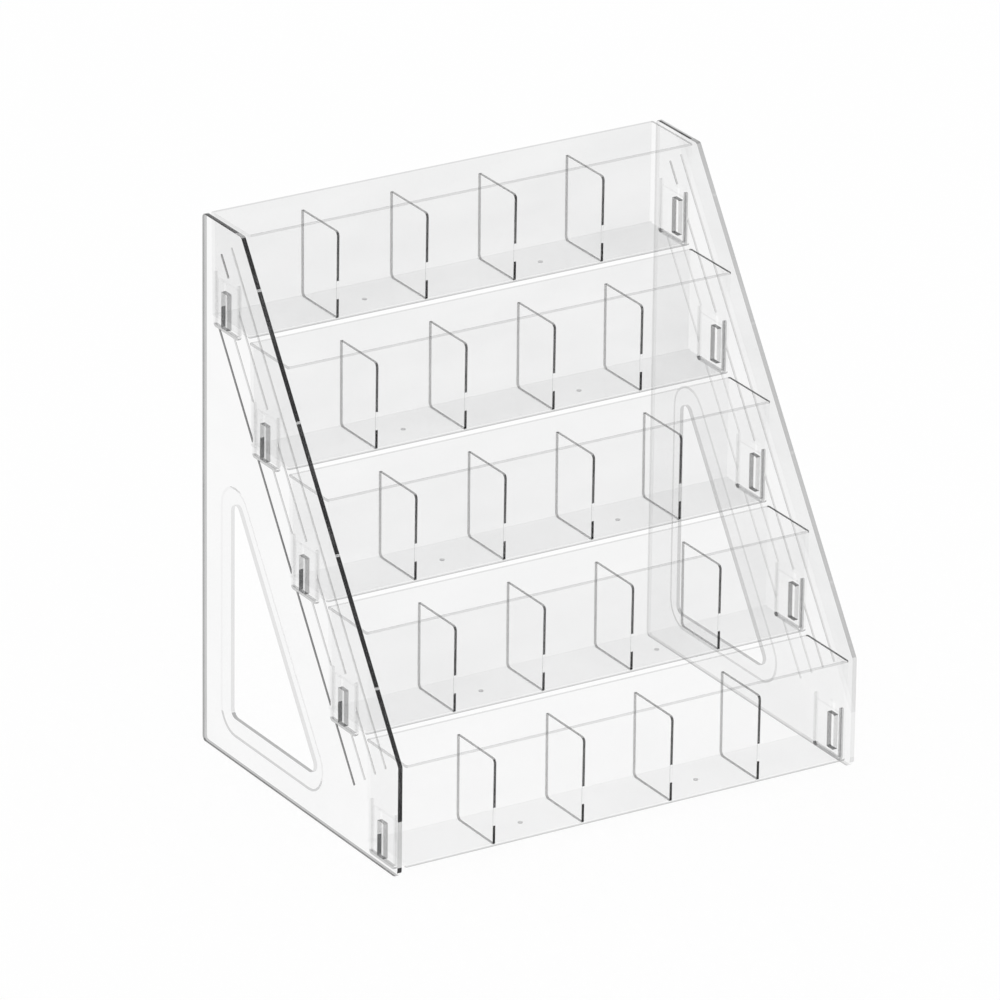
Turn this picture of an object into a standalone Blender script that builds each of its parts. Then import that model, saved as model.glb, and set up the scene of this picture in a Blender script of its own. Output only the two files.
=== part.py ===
"""Clear moulded brochure rack: two side panels, five hung trays, twenty lift-out dividers."""

import math

import bmesh
import bpy

MM = 0.001

# Overall
RACK_WIDTH = 540.0 * MM
TIERS = 5
POCKETS = 5

# One step of the stair from tier to tier
TIER_RUN = 78.0 * MM
TIER_RISE = 114.0 * MM

# Fits
SLIDE_GAP = 0.3 * MM
TRAY_TO_TRAY_GAP = 1.0 * MM
RIM_DROP = 0.5 * MM
TRAY_OFF_TABLE = 9.0 * MM
TRAY_HEIGHT = 111.5 * MM

# The panels end where the lowest tray ends
PANEL_DEPTH = TIERS * TIER_RUN
FRONT_EDGE_HEIGHT = TRAY_OFF_TABLE + TRAY_HEIGHT + RIM_DROP
PANEL_HEIGHT = FRONT_EDGE_HEIGHT + (TIERS - 1) * TIER_RISE

# Side panel plate, the ribs on its inner face and the step round its window
PANEL_THICK = 5.0 * MM
CORNER_RADIUS = 5.0 * MM
FOOT_RADIUS = 10.0 * MM
RIBS = 4
RIBS_FROM_TOP = 2
RIB_INSET = 36.0 * MM
RIB_PITCH = 24.5 * MM
RIB_WIDTH = 3.0 * MM
RIB_HEIGHT = 0.8 * MM
RIB_ROUND = 1.0 * MM
RIB_START = 2.0 * MM
RIB_END = 6.0 * MM
RIB_SHORTEST = 8.0 * MM
RIB_INTO_RAIL = 1.5 * MM
RIB_OFF_MOUTH = 2.0 * MM
BORDER_DEPTH = 0.8 * MM
WINDOW_BACK = 57.0 * MM
WINDOW_BOTTOM = 48.0 * MM
WINDOW_INSET = 172.0 * MM
WINDOW_RADIUS = 9.0 * MM
WINDOW_BORDER = 19.6 * MM

# Tray
TRAY_DEPTH = TIER_RUN - TRAY_TO_TRAY_GAP
TRAY_WALL = 2.4 * MM
TRAY_FLOOR = 2.4 * MM
TRAY_DRAFT = 0.8 * MM
TRAY_CORNER = 2.0 * MM
CAVITY_ROUND = 1.0 * MM
PANEL_TO_TRAY_GAP = 4.1 * MM
TRAY_HALF_LENGTH = RACK_WIDTH / 2 - PANEL_THICK - PANEL_TO_TRAY_GAP

# Socket rail on the panel, tongue and key on the tray end
SOCKET_WIDTH = 50.0 * MM
SOCKET_WALL = 3.0 * MM
SOCKET_BELOW_TRAY = 6.0 * MM
SOCKET_ABOVE_TRAY = 53.0 * MM
TONGUE_THICK = 2.8 * MM
TONGUE_TOP = 47.0 * MM
TONGUE_ROUND = 2.0 * MM
SOCKET_ROUND = 1.0 * MM
SOCKET_FOOT_ROUND = 4.0 * MM
KEY_WIDTH = 12.0 * MM
KEY_HEIGHT = 39.0 * MM
KEY_FORWARD = 3.0 * MM
KEY_SHORT_OF_FACE = 1.1 * MM
TRAY_LIFT = 12.0 * MM

# Divider
DIVIDER_THICK = 3.0 * MM
DIVIDER_DROP = 17.0 * MM
DIVIDER_CORNER = 5.0 * MM
DIVIDER_EDGE = 1.0 * MM
GROOVE_DEPTH = 1.2 * MM

SLOPE = TIER_RUN / TIER_RISE
LEAN = math.atan(SLOPE)
TRAY_TOP_Z = PANEL_HEIGHT - RIM_DROP
POCKET_PITCH = (2 * TRAY_HALF_LENGTH - 2 * TRAY_WALL + DIVIDER_THICK) / POCKETS
SOLVER_OVERLAP = 1.0 * MM


def clear_file():
    for item in list(bpy.data.objects):
        bpy.data.objects.remove(item, do_unlink=True)


def new_collection(name):
    group = bpy.data.collections.new(name)
    bpy.context.scene.collection.children.link(group)
    return group


def clear_plastic(name, tint):
    material = bpy.data.materials.new(name)
    material.use_nodes = True
    shader = material.node_tree.nodes["Principled BSDF"]
    shader.inputs["Base Color"].default_value = (tint, tint, tint, 1.0)
    shader.inputs["Roughness"].default_value = 0.08
    shader.inputs["Metallic"].default_value = 0.0
    shader.inputs["IOR"].default_value = 1.49
    shader.inputs["Alpha"].default_value = 0.3
    return material


def depth_to_y(depth):
    return PANEL_DEPTH / 2 - depth


def add_object(name, mesh, group):
    item = bpy.data.objects.new(name, mesh)
    group.objects.link(item)
    return item


def finish_mesh(name, bm):
    bmesh.ops.recalc_face_normals(bm, faces=bm.faces)
    if bm.calc_volume(signed=True) < 0.0:
        bmesh.ops.reverse_faces(bm, faces=bm.faces)
    mesh = bpy.data.meshes.new(name)
    bm.to_mesh(mesh)
    bm.free()
    return mesh


def add_block(bm, low, high):
    made = bmesh.ops.create_cube(bm, size=1.0)
    for vert in made["verts"]:
        for axis in range(3):
            span = high[axis] - low[axis]
            vert.co[axis] = low[axis] + (vert.co[axis] + 0.5) * span
    return made["verts"]


def tapered_block(half_x, half_y, bottom, top, draft, radius, name):
    """Block whose foot is narrower than its top by the draft on every side."""
    bm = bmesh.new()
    add_block(bm, (-half_x, -half_y, bottom), (half_x, half_y, top))
    for vert in bm.verts:
        if vert.co.z < (bottom + top) / 2:
            vert.co.x -= math.copysign(draft, vert.co.x)
            vert.co.y -= math.copysign(draft, vert.co.y)
    sharp = [e for e in bm.edges if min(v.co.z for v in e.verts) < (bottom + top) / 2]
    bmesh.ops.bevel(bm, geom=sharp, offset=radius, segments=3, profile=0.5, affect="EDGES")
    return finish_mesh(name, bm)


def rounded_spline(curve, corners):
    """Closed outline from (depth, height, radius) corners, each corner a round."""
    spline = curve.splines.new("BEZIER")
    spline.bezier_points.add(2 * len(corners) - 1)
    spline.use_cyclic_u = True
    spline.resolution_u = 6
    count = len(corners)
    for index, (across, up, radius) in enumerate(corners):
        before = corners[index - 1]
        after = corners[(index + 1) % count]
        place_corner(spline, 2 * index, (across, up), before, after, radius)


def place_corner(spline, slot, corner, before, after, radius):
    to_before = direction(corner, before)
    to_after = direction(corner, after)
    opening = math.acos(to_before[0] * to_after[0] + to_before[1] * to_after[1])
    setback = radius / math.tan(opening / 2)
    turn = math.pi - opening
    reach = radius * 4 / 3 * math.tan(turn / 4)
    for offset, away in ((0, to_before), (1, to_after)):
        point = spline.bezier_points[slot + offset]
        spot = along(corner, away, setback)
        inward = along(spot, away, -reach)
        point.co = (spot[0], spot[1], 0.0)
        point.handle_left_type = "VECTOR" if offset == 0 else "FREE"
        point.handle_right_type = "FREE" if offset == 0 else "VECTOR"
        if offset == 0:
            point.handle_right = (*inward, 0.0)
        else:
            point.handle_left = (*inward, 0.0)


def direction(start, end):
    across = end[0] - start[0]
    up = end[1] - start[1]
    length = math.hypot(across, up)
    return across / length, up / length


def along(start, heading, distance):
    return start[0] + heading[0] * distance, start[1] + heading[1] * distance


def filled_outline(name, corners, thickness):
    """Mesh of one filled outline, extruded evenly about its own plane."""
    curve = bpy.data.curves.new(name, "CURVE")
    curve.dimensions = "2D"
    curve.fill_mode = "BOTH"
    curve.extrude = thickness / 2
    rounded_spline(curve, corners)
    holder = bpy.data.objects.new(name, curve)
    bpy.context.scene.collection.objects.link(holder)
    graph = bpy.context.evaluated_depsgraph_get()
    mesh = bpy.data.meshes.new_from_object(holder.evaluated_get(graph))
    bpy.data.objects.remove(holder, do_unlink=True)
    return mesh


def plate_mesh(name, outlines, inner, outer):
    """Flat plates in the depth-height plane, standing between two X stations."""
    whole = bmesh.new()
    for corners in outlines:
        bm = bmesh.new()
        bm.from_mesh(filled_outline(name, corners, abs(outer - inner)))
        bmesh.ops.remove_doubles(bm, verts=bm.verts, dist=0.00002)
        bmesh.ops.dissolve_limit(bm, angle_limit=0.01, verts=bm.verts, edges=bm.edges)
        for vert in bm.verts:
            across, up, lift = vert.co
            vert.co = ((inner + outer) / 2 + lift, depth_to_y(across), up)
        whole.from_mesh(finish_mesh(name, bm))
    mesh = bpy.data.meshes.new(name)
    whole.to_mesh(mesh)
    whole.free()
    return mesh


def slant_point(along_edge, inset):
    """Point measured down the slanted edge and squarely in from it."""
    across = TIER_RUN + along_edge * math.sin(LEAN) - inset * math.cos(LEAN)
    up = PANEL_HEIGHT - along_edge * math.cos(LEAN) - inset * math.sin(LEAN)
    return across, up


def panel_outline():
    return [
        (0.0, 0.0, CORNER_RADIUS),
        (PANEL_DEPTH, 0.0, FOOT_RADIUS),
        (PANEL_DEPTH, FRONT_EDGE_HEIGHT, CORNER_RADIUS),
        (TIER_RUN, PANEL_HEIGHT, CORNER_RADIUS),
        (0.0, PANEL_HEIGHT, CORNER_RADIUS),
    ]


def window_outline(grow):
    """Triangular window; grow moves every side outward by the same amount."""
    back = WINDOW_BACK - grow
    bottom = WINDOW_BOTTOM - grow
    inset = WINDOW_INSET - grow
    edge_at_top = TIER_RUN + PANEL_HEIGHT * SLOPE - inset / math.cos(LEAN)
    front = edge_at_top - bottom * SLOPE
    apex = (edge_at_top - back) / SLOPE
    radius = WINDOW_RADIUS + grow
    return [(back, bottom, radius), (front, bottom, radius), (back, apex, radius)]


def rib_outline(inset, start, end):
    half = RIB_WIDTH / 2
    corners = [(start, inset - half), (end, inset - half), (end, inset + half), (start, inset + half)]
    return [(*slant_point(*corner), RIB_ROUND) for corner in corners]


def socket_stretch(inset, tier):
    """Stretch of a rib's line that crosses one tier's socket, empty if start >= end."""
    half = SOCKET_WIDTH / 2 - RIB_INTO_RAIL
    run = tray_centre(tier) - TIER_RUN + inset * math.cos(LEAN)
    mouth = tray_bottom(tier) + SOCKET_ABOVE_TRAY + RIB_OFF_MOUTH
    foot = tray_bottom(tier) - SOCKET_BELOW_TRAY + RIB_INTO_RAIL
    fall = PANEL_HEIGHT - inset * math.sin(LEAN)
    start = max((run - half) / math.sin(LEAN), (fall - mouth) / math.cos(LEAN))
    end = min((run + half) / math.sin(LEAN), (fall - foot) / math.cos(LEAN))
    return start, end


def rib_stretches(rib):
    """Lengths of one rib between sockets; the rear ribs begin below the first."""
    inset = RIB_INSET + rib * RIB_PITCH
    length = math.hypot(TIER_RUN, TIER_RISE) * (TIERS - 1)
    start = RIB_START
    stretches = []
    for tier in range(TIERS):
        stop, resume = socket_stretch(inset, tier)
        if stop < resume and start < length - RIB_END:
            stretches.append((start, min(stop, length - RIB_END)))
            start = resume
    stretches.append((start, length - RIB_END))
    if rib >= RIBS_FROM_TOP:
        stretches = stretches[1:]
    return [(low, high) for low, high in stretches if high - low > RIB_SHORTEST]


def tray_centre(tier):
    return (tier + 0.5) * TIER_RUN


def tray_bottom(tier):
    return TRAY_TOP_Z - TRAY_HEIGHT - tier * TIER_RISE


def panel_stations(side):
    return side * (RACK_WIDTH / 2 - PANEL_THICK), side * RACK_WIDTH / 2


def socket_block(bm, side, tier, back, front, low, high, reach):
    """Block beside one socket, measured from the tray centre and tray bottom."""
    inner = side * (RACK_WIDTH / 2 - PANEL_THICK)
    near = inner + side * reach[0]
    far = inner + side * reach[1]
    middle = depth_to_y(tray_centre(tier))
    base = tray_bottom(tier)
    add_block(
        bm,
        (min(near, far), middle - front, base + low),
        (max(near, far), middle - back, base + high),
    )


def rail_mesh(side):
    """One U outline per socket, extruded in X."""
    half = SOCKET_WIDTH / 2
    hollow = half - SOCKET_WALL
    shelf = -SOCKET_BELOW_TRAY + SOCKET_WALL
    inner = side * (RACK_WIDTH / 2 - PANEL_THICK - PANEL_TO_TRAY_GAP + SLIDE_GAP)
    outer = side * (RACK_WIDTH / 2 - PANEL_THICK + SOLVER_OVERLAP)
    outlines = []
    for tier in range(TIERS):
        centre = tray_centre(tier)
        base = tray_bottom(tier)
        shape = [
            (-half, -SOCKET_BELOW_TRAY, SOCKET_FOOT_ROUND),
            (half, -SOCKET_BELOW_TRAY, SOCKET_FOOT_ROUND),
            (half, SOCKET_ABOVE_TRAY, SOCKET_ROUND),
            (hollow, SOCKET_ABOVE_TRAY, SOCKET_ROUND),
            (hollow, shelf, SOCKET_ROUND),
            (-hollow, shelf, SOCKET_ROUND),
            (-hollow, SOCKET_ABOVE_TRAY, SOCKET_ROUND),
            (-half, SOCKET_ABOVE_TRAY, SOCKET_ROUND),
        ]
        outlines.append([(centre + a, base + u, r) for a, u, r in shape])
    return plate_mesh("socket_rails", outlines, inner, outer)


def slot_mesh(side):
    """Key slots through the plate, tall enough for the key to lift."""
    bm = bmesh.new()
    half = KEY_WIDTH / 2 + SLIDE_GAP
    low = -SLIDE_GAP
    high = KEY_HEIGHT + TRAY_LIFT + 2 * SLIDE_GAP
    reach = (-SOLVER_OVERLAP, PANEL_THICK + SOLVER_OVERLAP)
    for tier in range(TIERS):
        back = KEY_FORWARD - half
        front = KEY_FORWARD + half
        socket_block(bm, side, tier, back, front, low, high, reach)
    return finish_mesh("key_slots", bm)


def rib_mesh(side):
    """Low ribs on the inner face, in line with the slanted edge."""
    inner, _ = panel_stations(side)
    outlines = []
    for rib in range(RIBS):
        inset = RIB_INSET + rib * RIB_PITCH
        outlines += [rib_outline(inset, *stretch) for stretch in rib_stretches(rib)]
    return plate_mesh(
        "ribs", outlines, inner - side * RIB_HEIGHT, inner + side * SOLVER_OVERLAP
    )


def border_mesh(side):
    """Shallow step cut into the outer face all round the window."""
    _, outer = panel_stations(side)
    return plate_mesh(
        "window_border",
        [window_outline(WINDOW_BORDER)],
        outer - side * BORDER_DEPTH,
        outer + side * SOLVER_OVERLAP,
    )


def add_boolean(item, other, operation):
    modifier = item.modifiers.new(other.name, "BOOLEAN")
    modifier.operation = operation
    modifier.solver = "EXACT"
    modifier.object = other


def hide_helper(item):
    item.hide_render = True
    item.display_type = "WIRE"


def build_panel(label, side, material, parts, helpers):
    inner, outer = panel_stations(side)
    mesh = plate_mesh("side_panel_" + label, [panel_outline()], inner, outer)
    panel = add_object("side_panel_" + label, mesh, parts)
    panel.data.materials.append(material)
    past = SOLVER_OVERLAP * side
    window = plate_mesh("window", [window_outline(0.0)], inner - past, outer + past)
    helper_meshes = (
        ("window_border", border_mesh(side), "DIFFERENCE"),
        ("window", window, "DIFFERENCE"),
        ("ribs", rib_mesh(side), "UNION"),
        ("socket_rails", rail_mesh(side), "UNION"),
        ("key_slots", slot_mesh(side), "DIFFERENCE"),
    )
    for name, helper_mesh, operation in helper_meshes:
        helper = add_object(name + "_" + label, helper_mesh, helpers)
        hide_helper(helper)
        add_boolean(panel, helper, operation)
    return panel


def tongue_mesh():
    """Rounded tongues on both tray ends, in the tray's own axes."""
    half = SOCKET_WIDTH / 2 - SOCKET_WALL - SLIDE_GAP
    foot = -SOCKET_BELOW_TRAY + SOCKET_WALL + SLIDE_GAP
    root = TRAY_HALF_LENGTH - TRAY_DRAFT - SOLVER_OVERLAP
    face = TRAY_HALF_LENGTH + TONGUE_THICK
    middle = PANEL_DEPTH / 2
    corners = [
        (middle - half, foot, TONGUE_ROUND),
        (middle + half, foot, TONGUE_ROUND),
        (middle + half, TONGUE_TOP, TONGUE_ROUND),
        (middle - half, TONGUE_TOP, TONGUE_ROUND),
    ]
    whole = bmesh.new()
    for side in (-1, 1):
        whole.from_mesh(plate_mesh("tongue", [corners], side * root, side * face))
    return finish_mesh("tray_tongues", whole)


def key_mesh():
    bm = bmesh.new()
    root = TRAY_HALF_LENGTH + TONGUE_THICK - SOLVER_OVERLAP
    tip = RACK_WIDTH / 2 - KEY_SHORT_OF_FACE
    for side in (-1, 1):
        span = sorted((side * root, side * tip))
        low = (span[0], -KEY_FORWARD - KEY_WIDTH / 2, 0.0)
        high = (span[1], -KEY_FORWARD + KEY_WIDTH / 2, KEY_HEIGHT)
        add_block(bm, low, high)
    return finish_mesh("tray_keys", bm)


def divider_x(index):
    return (index - (POCKETS - 2) / 2) * POCKET_PITCH


def groove_mesh():
    """Floor grooves that locate the dividers, with the pocket cavity above."""
    bm = bmesh.new()
    half = DIVIDER_THICK / 2 + SLIDE_GAP
    depth = TRAY_DEPTH / 2 - TRAY_WALL - TRAY_DRAFT
    for index in range(POCKETS - 1):
        middle = divider_x(index)
        low = (middle - half, -depth, TRAY_FLOOR - GROOVE_DEPTH)
        high = (middle + half, depth, TRAY_FLOOR + SOLVER_OVERLAP)
        add_block(bm, low, high)
    return finish_mesh("divider_grooves", bm)


def cavity_mesh():
    rise = TRAY_HEIGHT - TRAY_FLOOR
    half_x = TRAY_HALF_LENGTH - TRAY_WALL
    half_y = TRAY_DEPTH / 2 - TRAY_WALL
    top = TRAY_HEIGHT + SOLVER_OVERLAP
    flare = TRAY_DRAFT * (rise + SOLVER_OVERLAP) / rise
    extra = flare - TRAY_DRAFT
    return tapered_block(
        half_x + extra, half_y + extra, TRAY_FLOOR, top, flare, CAVITY_ROUND, "tray_cavity"
    )


def build_tray(tier, material, parts, helpers):
    mesh = tapered_block(
        TRAY_HALF_LENGTH, TRAY_DEPTH / 2, 0.0, TRAY_HEIGHT, TRAY_DRAFT, TRAY_CORNER, "tray"
    )
    tray = add_object("tray_%d" % (tier + 1), mesh, parts)
    tray.location = (0.0, depth_to_y(tray_centre(tier)), tray_bottom(tier))
    tray.data.materials.append(material)
    for name, operation in (
        ("tray_tongues", "UNION"),
        ("tray_keys", "UNION"),
        ("tray_cavity", "DIFFERENCE"),
        ("divider_grooves", "DIFFERENCE"),
    ):
        helper = add_object("%s_%d" % (name, tier + 1), TRAY_HELPERS[name], helpers)
        helper.location = tray.location
        hide_helper(helper)
        add_boolean(tray, helper, operation)
    return tray


def divider_mesh():
    """Thin plate, a little shorter at its foot, with two rounded corners."""
    base = TRAY_FLOOR - GROOVE_DEPTH + SLIDE_GAP
    top = TRAY_HEIGHT - DIVIDER_DROP
    inside = TRAY_DEPTH / 2 - TRAY_WALL - SLIDE_GAP
    taper = TRAY_DRAFT * (TRAY_HEIGHT - top) / TRAY_HEIGHT
    head = inside - taper
    foot = inside - TRAY_DRAFT
    middle = PANEL_DEPTH / 2
    corners = [
        (middle - foot, 0.0, DIVIDER_CORNER),
        (middle + foot, 0.0, DIVIDER_EDGE),
        (middle + head, top - base, DIVIDER_CORNER),
        (middle - head, top - base, DIVIDER_EDGE),
    ]
    half = DIVIDER_THICK / 2
    return plate_mesh("divider", [corners], -half, half)


def build_divider(tier, index, mesh, material, tray, parts):
    name = "divider_%d_%d" % (tier + 1, index + 1)
    divider = add_object(name, mesh.copy(), parts)
    divider.data.materials.append(material)
    divider.parent = tray
    divider.location = (divider_x(index), 0.0, TRAY_FLOOR - GROOVE_DEPTH + SLIDE_GAP)
    return divider


TRAY_HELPERS = {}


def build_rack():
    clear_file()
    parts = new_collection("brochure_rack")
    helpers = new_collection("cutters")
    panel_plastic = clear_plastic("clear_panel_plastic", 0.90)
    tray_plastic = clear_plastic("clear_tray_plastic", 0.92)
    divider_plastic = clear_plastic("clear_divider_plastic", 0.94)
    TRAY_HELPERS["tray_tongues"] = tongue_mesh()
    TRAY_HELPERS["tray_keys"] = key_mesh()
    TRAY_HELPERS["tray_cavity"] = cavity_mesh()
    TRAY_HELPERS["divider_grooves"] = groove_mesh()
    build_panel("left", -1, panel_plastic, parts, helpers)
    build_panel("right", 1, panel_plastic, parts, helpers)
    divider = divider_mesh()
    for tier in range(TIERS):
        tray = build_tray(tier, tray_plastic, parts, helpers)
        for index in range(POCKETS - 1):
            build_divider(tier, index, divider, divider_plastic, tray, parts)


build_rack()
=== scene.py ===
import math

import bmesh
import bpy
from mathutils import Matrix, Vector


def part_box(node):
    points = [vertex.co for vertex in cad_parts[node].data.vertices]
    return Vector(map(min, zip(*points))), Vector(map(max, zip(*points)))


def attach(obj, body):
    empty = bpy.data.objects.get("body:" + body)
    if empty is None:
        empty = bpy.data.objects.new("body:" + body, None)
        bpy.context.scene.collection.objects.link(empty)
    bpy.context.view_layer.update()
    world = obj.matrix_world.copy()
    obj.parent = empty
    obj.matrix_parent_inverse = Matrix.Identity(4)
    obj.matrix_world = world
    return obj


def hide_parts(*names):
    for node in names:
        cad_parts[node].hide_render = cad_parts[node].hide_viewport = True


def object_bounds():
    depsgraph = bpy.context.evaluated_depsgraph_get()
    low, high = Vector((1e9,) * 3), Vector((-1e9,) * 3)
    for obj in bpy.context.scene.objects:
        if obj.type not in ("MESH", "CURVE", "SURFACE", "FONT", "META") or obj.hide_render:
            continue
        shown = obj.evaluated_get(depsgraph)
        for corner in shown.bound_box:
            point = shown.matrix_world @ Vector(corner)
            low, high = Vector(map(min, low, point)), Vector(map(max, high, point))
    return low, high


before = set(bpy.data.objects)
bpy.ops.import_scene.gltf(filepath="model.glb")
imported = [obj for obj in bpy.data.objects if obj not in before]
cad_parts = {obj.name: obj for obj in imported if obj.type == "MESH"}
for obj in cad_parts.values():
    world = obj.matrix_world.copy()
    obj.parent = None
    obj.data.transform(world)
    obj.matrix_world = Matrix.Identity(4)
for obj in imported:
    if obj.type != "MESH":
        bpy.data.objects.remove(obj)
CAD_LOW, CAD_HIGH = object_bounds()

MM = 0.001

# ---------------------------------------------------------------- sizes read from the frame

TIERS = 5
POCKETS = 5
TRAY_BOXES = [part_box("tray_%d" % (tier + 1)) for tier in range(TIERS)]
TRAY_MIDDLES = [(low.y + high.y) / 2 for low, high in TRAY_BOXES]
TRAY_RIMS = [high.z for low, high in TRAY_BOXES]
TIER_RUN = (TRAY_MIDDLES[0] - TRAY_MIDDLES[-1]) / (TIERS - 1)
TIER_RISE = (TRAY_RIMS[0] - TRAY_RIMS[-1]) / (TIERS - 1)
LEAN = math.atan2(TIER_RUN, TIER_RISE)
SLOPE = TIER_RUN / TIER_RISE
TIER_STEP = math.hypot(TIER_RUN, TIER_RISE)

RACK_HALF = CAD_HIGH.x
PANEL_DEPTH = CAD_HIGH.y - CAD_LOW.y
PANEL_HEIGHT = CAD_HIGH.z
FRONT_EDGE = PANEL_HEIGHT - (TIERS - 1) * TIER_RISE

# ---------------------------------------------------------------- moulding sizes

GAP = 0.3 * MM
SINK = 1.0 * MM  # how far a joined piece or a cutter reaches past a face
NEAR = 0.1 * MM
WELD = 0.01 * MM
SLIVER = 0.001 * MM
PART_ROUND = 0.4 * MM
ARC_STEPS = 8

PLATE_THICK = 5.0 * MM
PLATE_INNER = RACK_HALF - PLATE_THICK
PLATE_MIDDLE = RACK_HALF - PLATE_THICK / 2
PLATE_ROUND = 0.45 * MM
CORNER = 5.0 * MM
FOOT_CORNER = 10.0 * MM

RIB_INSETS = tuple((36.0 + 24.5 * rib) * MM for rib in range(4))
RIBS_FROM_TOP = 2
RIB_WIDTH = 3.0 * MM
RIB_HEIGHT = 0.8 * MM
RIB_CORNER = 1.0 * MM
RIB_ROUND = 0.3 * MM
RIB_START = 2.0 * MM
RIB_END = 6.0 * MM
RIB_SHORTEST = 8.0 * MM
RIB_INTO_RAIL = 1.5 * MM
RIB_OFF_MOUTH = 2.0 * MM

WINDOW_BACK = 57.0 * MM
WINDOW_BOTTOM = 48.0 * MM
WINDOW_INSET = 172.0 * MM
WINDOW_ROUND = 9.0 * MM
BORDER = 19.6 * MM
BORDER_DEPTH = 0.8 * MM
BORDER_STEP = 0.3 * MM
BORDER_STEP_WIDTH = 2.4 * MM

TRAY_DEPTH = TRAY_BOXES[0][1].y - TRAY_BOXES[0][0].y
TONGUE_DROP = 2.7 * MM
TRAY_HEIGHT = TRAY_BOXES[0][1].z - TRAY_BOXES[0][0].z - TONGUE_DROP
PANEL_TO_TRAY = 4.1 * MM
TRAY_HALF = PLATE_INNER - PANEL_TO_TRAY
TRAY_WALL = 2.4 * MM
TRAY_FLOOR = 2.4 * MM
TRAY_DRAFT = 0.8 * MM
TRAY_CORNER = 2.2 * MM
TRAY_FILLET = 1.6 * MM
FILLET_STEPS = 4
RIM_ROUND = 0.7 * MM
RIM_STEPS = 3

SOCKET_HALF = 25.0 * MM
SOCKET_WALL = 3.0 * MM
SOCKET_FOOT = -6.0 * MM
SOCKET_TOP = 53.0 * MM
SOCKET_FOOT_CORNER = 4.0 * MM
SOCKET_TIP_CORNER = 1.4 * MM
SOCKET_SHELF_CORNER = 1.0 * MM
TONGUE_THICK = 2.8 * MM
TONGUE_TOP = 47.0 * MM
TONGUE_CORNER = 2.0 * MM
KEY_HALF = 6.0 * MM
KEY_FORWARD = 3.0 * MM
KEY_HEIGHT = 39.0 * MM
KEY_TRAVEL = 12.0 * MM
KEY_SHORT_OF_FACE = 1.1 * MM
KEY_CORNER = 1.0 * MM
SLOT_CORNER = 1.2 * MM

DIVIDER_HALF = 1.5 * MM
DIVIDER_DROP = 17.0 * MM
DIVIDER_CORNER = 5.0 * MM
DIVIDER_HEEL = 1.0 * MM
GROOVE = 1.2 * MM
POCKET_PITCH = (2 * TRAY_HALF - 2 * TRAY_WALL + 2 * DIVIDER_HALF) / POCKETS
GATE_RADIUS = 3.0 * MM
GATE_DROP = 0.6 * MM

# ---------------------------------------------------------------- where the painted edge shade changes

OUTLINE = 1.2 * MM  # a face this near the outline belongs to the cut edge
# the painted shade on each panel's slant has a short lighter break near each tray
EDGE_BREAK = 56.5 * MM
BREAK_HALF = 1.4 * MM
RIB_HEAD = 48.0 * MM
TOP_SPAN = (6.0 * MM, 66.0 * MM)
FRONT_SPAN = (12.0 * MM, 62.0 * MM)
BORDER_HEAD = 300.0 * MM
BORDER_REACH = 345.0 * MM
BORDER_FROM = RIB_INSETS[-1] + 20.0 * MM
WINDOW_FOOT = WINDOW_BOTTOM + 12.0 * MM
RIM_BAND = 2.0 * MM
FOOT_BAND = 2.8 * MM
WALL_ZONE = 4.0 * MM
GATE_ZONE = GATE_RADIUS * 1.05
KEY_SPLIT = 23.0 * MM
KEY_END = 1.5 * MM
# shares of a divider's height where the painted shade on its front edge goes from near
# black to clear to dark
STUB_TOP = 0.22  # of a divider's height
CLEAR_TOP = 0.43
UPRIGHT_ZONE = 2.0 * MM

# ---------------------------------------------------------------- light and viewing angle

ROOM_LIGHT = 0.9
LAMP_STRENGTH = 0.5
LAMP_SPREAD = 40.0  # degrees
LAMP_TILT = (32.0, -18.0)
FLOOR_GLOW = 0.9
FLOOR_HALF = 30.0  # metres
VIEW_AZIMUTH = -31.808  # degrees
VIEW_ELEVATION = 22.824
VIEW_ROLL = 0.803
VIEW_DISTANCE = 10.026  # metres
VIEW_LENS = 358.74
AIM = Vector((0.0, -0.021, 0.2916))
PAN = 0.004208
TILT = 0.000348


def tray_base(tier):
    return TRAY_RIMS[tier] - TRAY_HEIGHT


def to_y(depth):
    """Depth is measured forward from the panels' back edge."""
    return CAD_HIGH.y - depth


# ---------------------------------------------------------------- shader maths


class Value:
    """A shader socket that takes part in Python arithmetic."""

    def __init__(self, tree, socket):
        self.tree = tree
        self.socket = socket

    def math(self, operation, *others, clamp=False):
        node = self.tree.nodes.new("ShaderNodeMath")
        node.operation = operation
        node.use_clamp = clamp
        for slot, other in enumerate((self, *others)):
            connect(self.tree, node.inputs[slot], other)
        return Value(self.tree, node.outputs[0])

    def __add__(self, other):
        return self.math("ADD", other)

    __radd__ = __add__

    def __mul__(self, other):
        return self.math("MULTIPLY", other)

    __rmul__ = __mul__

    def __sub__(self, other):
        return self.math("SUBTRACT", other)

    def __rsub__(self, other):
        return (self * -1.0) + other

    def over(self, low, high):
        """0 below low, 1 above high, straight between."""
        return ((self - low) * (1.0 / (high - low))).math("ADD", 0.0, clamp=True)


def connect(tree, socket, source):
    if isinstance(source, Value):
        tree.links.new(source.socket, socket)
    else:
        socket.default_value = source


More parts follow.
